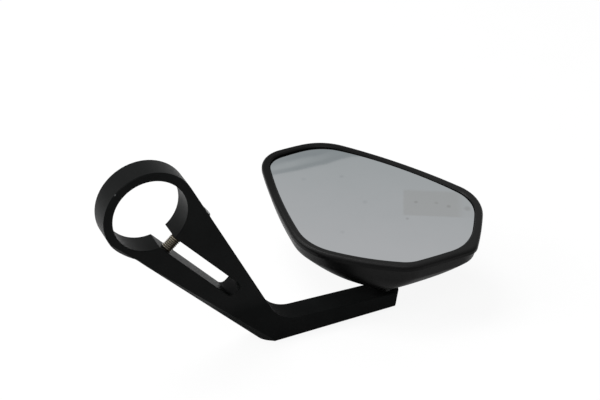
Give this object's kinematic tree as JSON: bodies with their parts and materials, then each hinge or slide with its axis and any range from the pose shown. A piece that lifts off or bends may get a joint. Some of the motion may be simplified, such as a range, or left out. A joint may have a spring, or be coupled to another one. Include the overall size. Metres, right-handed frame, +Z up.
{
  "type": "motorcycle bar end mirror",
  "caption": "Bar end mirror: split clamp ring and slotted arm cut from one plate, with a leg that carries a ball-jointed, rounded hexagonal mirror head that swivels and tilts",
  "frame": {"origin": "middle of the clamp bore, half way through the plate", "axes": "+Y along the bar and the clamp bore, +X along the leg to the mirror head, +Z up from the leg, the way the glass faces"},
  "size_m": [0.216, 0.1182, 0.116],
  "materials": {
    "black_anodised": "satin black anodised billet",
    "screw_steel": "blackened steel worn to brown on the thread",
    "zinc_steel": "zinc plated",
    "black_nylon": "moulded black nylon",
    "white_acetal": "turned natural acetal",
    "housing_plastic": "satin black moulded plastic",
    "foam_pad": "black adhesive foam",
    "mirror_glass": "silvered glass, lightly dusty, with a patch of old adhesive"
  },
  "bodies": {
    "arm": {"clamp_arm": "black_anodised", "clamp_screw": "screw_steel", "ball_stud": "zinc_steel", "stud_nut": "zinc_steel"},
    "swivel_ring": {"neck_collar": "black_nylon"},
    "tilt_liner": {"ball_liner": "white_acetal"},
    "mirror_head": {"mirror_housing": "housing_plastic", "upper_ball_seat": "white_acetal", "lower_disc_spring": "zinc_steel", "upper_disc_spring": "zinc_steel", "retainer_plate": "zinc_steel", "retainer_screw_1": "zinc_steel", "retainer_screw_2": "zinc_steel", "retainer_screw_3": "zinc_steel", "glass_carrier": "black_nylon", "carrier_screw_1": "zinc_steel", "carrier_screw_2": "zinc_steel", "carrier_screw_3": "zinc_steel", "glass_pad": "foam_pad", "mirror_glass": "mirror_glass"}
  },
  "joints": [
    {"name": "head_swivel", "type": "hinge", "parent": "arm", "child": "swivel_ring", "pos_m": [0.1342, 0, -0.0714], "axis": [0, 0, 1], "range_deg": [-180, 18]},
    {"name": "head_tilt_x", "type": "hinge", "parent": "swivel_ring", "child": "tilt_liner", "pos_m": [0.1342, 0, -0.0714], "axis": [1, 0, 0], "range_deg": [-24.9, 7.1]},
    {"name": "head_tilt_y", "type": "hinge", "parent": "tilt_liner", "child": "mirror_head", "pos_m": [0.1342, 0, -0.0714], "axis": [0, 0.988, 0.1547], "range_deg": [-6.1, 17.9]}
  ]
}
